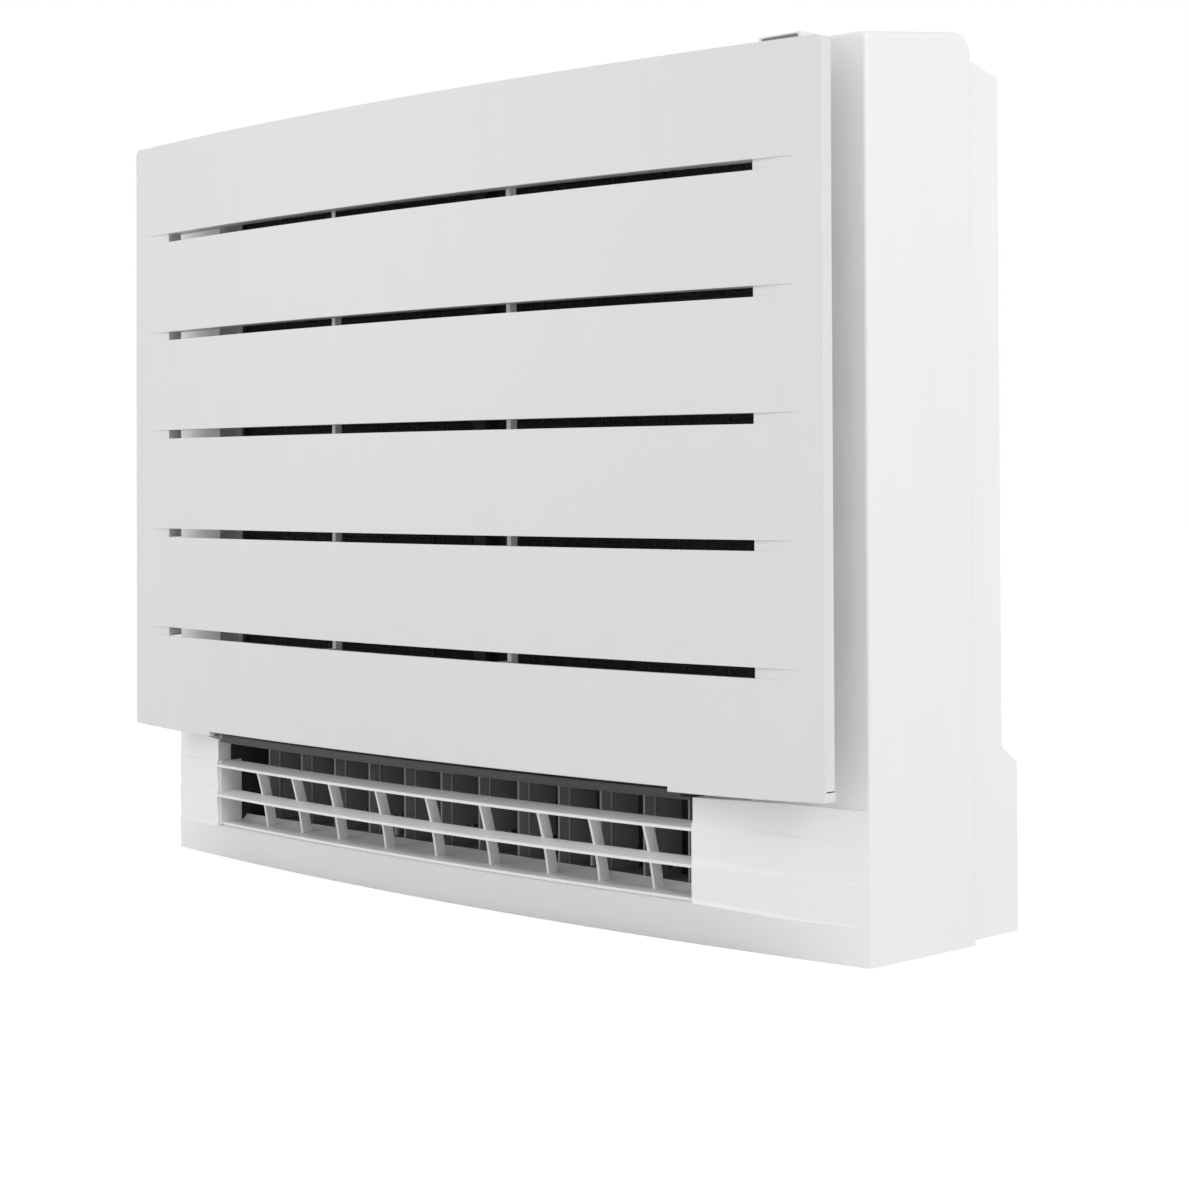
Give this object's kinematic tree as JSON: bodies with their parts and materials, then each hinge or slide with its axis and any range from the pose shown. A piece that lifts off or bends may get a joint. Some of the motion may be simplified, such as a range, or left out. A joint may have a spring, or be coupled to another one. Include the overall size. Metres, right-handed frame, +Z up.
{
  "type": "floor standing air conditioner",
  "caption": "Low wall air conditioner on the floor: crowned slotted front panel floating on a white casing, guarded outlet at the foot, flap outlet on top.",
  "frame": {"origin": "centre of the unit's footprint box, on the floor", "axes": "+X to the right seen from the room, +Y towards the wall, +Z up"},
  "size_m": [0.75, 0.2379, 0.6],
  "materials": {
    "casing_white": "fine satin moulded",
    "panel_white": "smooth satin",
    "rear_white": "satin",
    "guard_white": "satin",
    "grey_plastic": "matt",
    "light_grey_plastic": "matt",
    "dark_plastic": "matt",
    "filter_dark": "matt net",
    "fan_black": "matt",
    "foam_grey": "foam",
    "fin_aluminium": "thin lacquered",
    "copper": "drawn tube",
    "nut_brass": "machined",
    "zinc_steel": "zinc plated sheet",
    "screw_steel": "plated",
    "board_green": "lacquered",
    "terminal_cream": "matt",
    "hose_grey": "corrugated",
    "window_dark": "gloss, smoked",
    "button_white": "satin"
  },
  "bodies": {
    "casing": {"front_casing": "casing_white", "rear_casing": "rear_white", "outlet_guard": "guard_white", "outlet_seal": "dark_plastic", "receiver_housing": "casing_white", "receiver_window": "window_dark", "fan_housing": "foam_grey", "fan_orifice": "dark_plastic", "fan_motor": "zinc_steel", "upper_duct": "dark_plastic", "lower_duct": "dark_plastic", "louvre_rail": "light_grey_plastic", "stepping_motors": "zinc_steel", "coil_fins": "fin_aluminium", "coil_tubes": "copper", "tube_sheets": "zinc_steel", "drain_pan": "light_grey_plastic", "drain_hose": "hose_grey", "liquid_pipe": "copper", "gas_pipe": "copper", "flare_nuts": "nut_brass", "electrical_box": "zinc_steel", "electrical_cover": "zinc_steel", "control_board": "board_green", "terminal_block": "terminal_cream", "wall_plate": "zinc_steel", "casing_screws": "screw_steel"},
    "fan": {"turbo_fan": "fan_black", "fan_nut": "nut_brass", "motor_shaft": "screw_steel"},
    "panel": {"front_panel": "panel_white"},
    "left_stop": {"left_panel_stop": "light_grey_plastic"},
    "right_stop": {"right_panel_stop": "light_grey_plastic"},
    "flap": {"top_flap": "casing_white"},
    "shutter": {"lower_shutter": "dark_plastic"},
    "button": {"on_off_button": "button_white"},
    "left_filter": {"left_air_filter": "filter_dark", "left_air_cleaner": "grey_plastic"},
    "right_filter": {"right_air_filter": "filter_dark", "right_air_cleaner": "grey_plastic"},
    "left_link": {"lower_left_link": "grey_plastic"},
    "right_link": {"lower_right_link": "grey_plastic"},
    "top_link": {"upper_link": "grey_plastic"},
    "louvre_1": {"lower_louvre_1": "grey_plastic"},
    "louvre_2": {"lower_louvre_2": "grey_plastic"},
    "louvre_3": {"lower_louvre_3": "grey_plastic"},
    "louvre_4": {"lower_louvre_4": "grey_plastic"},
    "louvre_5": {"lower_louvre_5": "grey_plastic"},
    "louvre_6": {"lower_louvre_6": "grey_plastic"},
    "louvre_7": {"lower_louvre_7": "grey_plastic"},
    "louvre_8": {"lower_louvre_8": "grey_plastic"},
    "louvre_9": {"lower_louvre_9": "grey_plastic"},
    "louvre_10": {"lower_louvre_10": "grey_plastic"},
    "louvre_11": {"lower_louvre_11": "grey_plastic"},
    "louvre_12": {"lower_louvre_12": "grey_plastic"},
    "vane_1": {"upper_louvre_1": "grey_plastic"},
    "vane_2": {"upper_louvre_2": "grey_plastic"},
    "vane_3": {"upper_louvre_3": "grey_plastic"},
    "vane_4": {"upper_louvre_4": "grey_plastic"},
    "vane_5": {"upper_louvre_5": "grey_plastic"}
  },
  "joints": [
    {"name": "fan_spin", "type": "hinge", "parent": "casing", "child": "fan", "pos_m": [0, 0, 0.335], "axis": [0, 1, 0], "continuous": true},
    {"name": "panel_hinge", "type": "hinge", "parent": "casing", "child": "panel", "pos_m": [0, -0.071, 0.105], "axis": [1, 0, 0], "range_deg": [0, 35]},
    {"name": "left_stop_slide", "type": "slide", "parent": "panel", "child": "left_stop", "axis": [1, 0, 0], "range_m": [0, 0.006]},
    {"name": "right_stop_slide", "type": "slide", "parent": "panel", "child": "right_stop", "axis": [-1, 0, 0], "range_m": [0, 0.006]},
    {"name": "flap_hinge", "type": "hinge", "parent": "casing", "child": "flap", "pos_m": [0, 0.005, 0.58916], "axis": [-1, 0, 0], "range_deg": [0, 75]},
    {"name": "shutter_hinge", "type": "hinge", "parent": "casing", "child": "shutter", "pos_m": [0, 0.067, 0.095], "axis": [-1, 0, 0], "range_deg": [0, 85]},
    {"name": "button_press", "type": "slide", "parent": "casing", "child": "button", "axis": [0, 0, -1], "range_m": [0, 0.0008], "stiffness_N_per_m": 400},
    {"name": "left_filter_lift", "type": "slide", "parent": "casing", "child": "left_filter", "axis": [0, 0, 1], "range_m": [0, 0.006]},
    {"name": "right_filter_lift", "type": "slide", "parent": "casing", "child": "right_filter", "axis": [0, 0, 1], "range_m": [0, 0.006]},
    {"name": "louvre_1_swing", "type": "hinge", "parent": "casing", "child": "louvre_1", "pos_m": [-0.231, -0.055, 0.046], "axis": [0, 0, 1], "range_deg": [-30, 30]},
    {"name": "louvre_2_swing", "type": "hinge", "parent": "casing", "child": "louvre_2", "pos_m": [-0.189, -0.055, 0.046], "axis": [0, 0, 1], "range_deg": [-30, 30]},
    {"name": "louvre_3_swing", "type": "hinge", "parent": "casing", "child": "louvre_3", "pos_m": [-0.147, -0.055, 0.046], "axis": [0, 0, 1], "range_deg": [-30, 30]},
    {"name": "louvre_4_swing", "type": "hinge", "parent": "casing", "child": "louvre_4", "pos_m": [-0.105, -0.055, 0.046], "axis": [0, 0, 1], "range_deg": [-30, 30]},
    {"name": "louvre_5_swing", "type": "hinge", "parent": "casing", "child": "louvre_5", "pos_m": [-0.063, -0.055, 0.046], "axis": [0, 0, 1], "range_deg": [-30, 30]},
    {"name": "louvre_6_swing", "type": "hinge", "parent": "casing", "child": "louvre_6", "pos_m": [-0.021, -0.055, 0.046], "axis": [0, 0, 1], "range_deg": [-30, 30]},
    {"name": "louvre_7_swing", "type": "hinge", "parent": "casing", "child": "louvre_7", "pos_m": [0.021, -0.055, 0.046], "axis": [0, 0, 1], "range_deg": [-30, 30]},
    {"name": "louvre_8_swing", "type": "hinge", "parent": "casing", "child": "louvre_8", "pos_m": [0.063, -0.055, 0.046], "axis": [0, 0, 1], "range_deg": [-30, 30]},
    {"name": "louvre_9_swing", "type": "hinge", "parent": "casing", "child": "louvre_9", "pos_m": [0.105, -0.055, 0.046], "axis": [0, 0, 1], "range_deg": [-30, 30]},
    {"name": "louvre_10_swing", "type": "hinge", "parent": "casing", "child": "louvre_10", "pos_m": [0.147, -0.055, 0.046], "axis": [0, 0, 1], "range_deg": [-30, 30]},
    {"name": "louvre_11_swing", "type": "hinge", "parent": "casing", "child": "louvre_11", "pos_m": [0.189, -0.055, 0.046], "axis": [0, 0, 1], "range_deg": [-30, 30]},
    {"name": "louvre_12_swing", "type": "hinge", "parent": "casing", "child": "louvre_12", "pos_m": [0.231, -0.055, 0.046], "axis": [0, 0, 1], "range_deg": [-30, 30]},
    {"name": "left_link_swing", "type": "hinge", "parent": "louvre_1", "child": "left_link", "pos_m": [-0.231, -0.035, 0.046], "axis": [0, 0, 1], "range_deg": [-30, 30]},
    {"name": "right_link_swing", "type": "hinge", "parent": "louvre_7", "child": "right_link", "pos_m": [0.021, -0.035, 0.046], "axis": [0, 0, 1], "range_deg": [-30, 30]},
    {"name": "vane_1_swing", "type": "hinge", "parent": "casing", "child": "vane_1", "pos_m": [-0.2, -0.022, 0.57], "axis": [0, 1, 0], "range_deg": [-30, 30]},
    {"name": "vane_2_swing", "type": "hinge", "parent": "casing", "child": "vane_2", "pos_m": [-0.1, -0.022, 0.57], "axis": [0, 1, 0], "range_deg": [-30, 30]},
    {"name": "vane_3_swing", "type": "hinge", "parent": "casing", "child": "vane_3", "pos_m": [0, -0.022, 0.57], "axis": [0, 1, 0], "range_deg": [-30, 30]},
    {"name": "vane_4_swing", "type": "hinge", "parent": "casing", "child": "vane_4", "pos_m": [0.1, -0.022, 0.57], "axis": [0, 1, 0], "range_deg": [-30, 30]},
    {"name": "vane_5_swing", "type": "hinge", "parent": "casing", "child": "vane_5", "pos_m": [0.2, -0.022, 0.57], "axis": [0, 1, 0], "range_deg": [-30, 30]},
    {"name": "top_link_swing", "type": "hinge", "parent": "vane_3", "child": "top_link", "pos_m": [0, -0.022, 0.5582], "axis": [0, 1, 0], "range_deg": [-30, 30]}
  ],
  "couplings": [
    {"joint": "left_link_swing", "follows": "louvre_1_swing", "ratio": -1},
    {"joint": "louvre_2_swing", "follows": "louvre_1_swing", "ratio": 1},
    {"joint": "louvre_3_swing", "follows": "louvre_1_swing", "ratio": 1},
    {"joint": "louvre_4_swing", "follows": "louvre_1_swing", "ratio": 1},
    {"joint": "louvre_5_swing", "follows": "louvre_1_swing", "ratio": 1},
    {"joint": "louvre_6_swing", "follows": "louvre_1_swing", "ratio": 1},
    {"joint": "right_link_swing", "follows": "louvre_7_swing", "ratio": -1},
    {"joint": "louvre_8_swing", "follows": "louvre_7_swing", "ratio": 1},
    {"joint": "louvre_9_swing", "follows": "louvre_7_swing", "ratio": 1},
    {"joint": "louvre_10_swing", "follows": "louvre_7_swing", "ratio": 1},
    {"joint": "louvre_11_swing", "follows": "louvre_7_swing", "ratio": 1},
    {"joint": "louvre_12_swing", "follows": "louvre_7_swing", "ratio": 1},
    {"joint": "top_link_swing", "follows": "vane_3_swing", "ratio": -1},
    {"joint": "vane_1_swing", "follows": "vane_3_swing", "ratio": 1},
    {"joint": "vane_2_swing", "follows": "vane_3_swing", "ratio": 1},
    {"joint": "vane_4_swing", "follows": "vane_3_swing", "ratio": 1},
    {"joint": "vane_5_swing", "follows": "vane_3_swing", "ratio": 1}
  ]
}
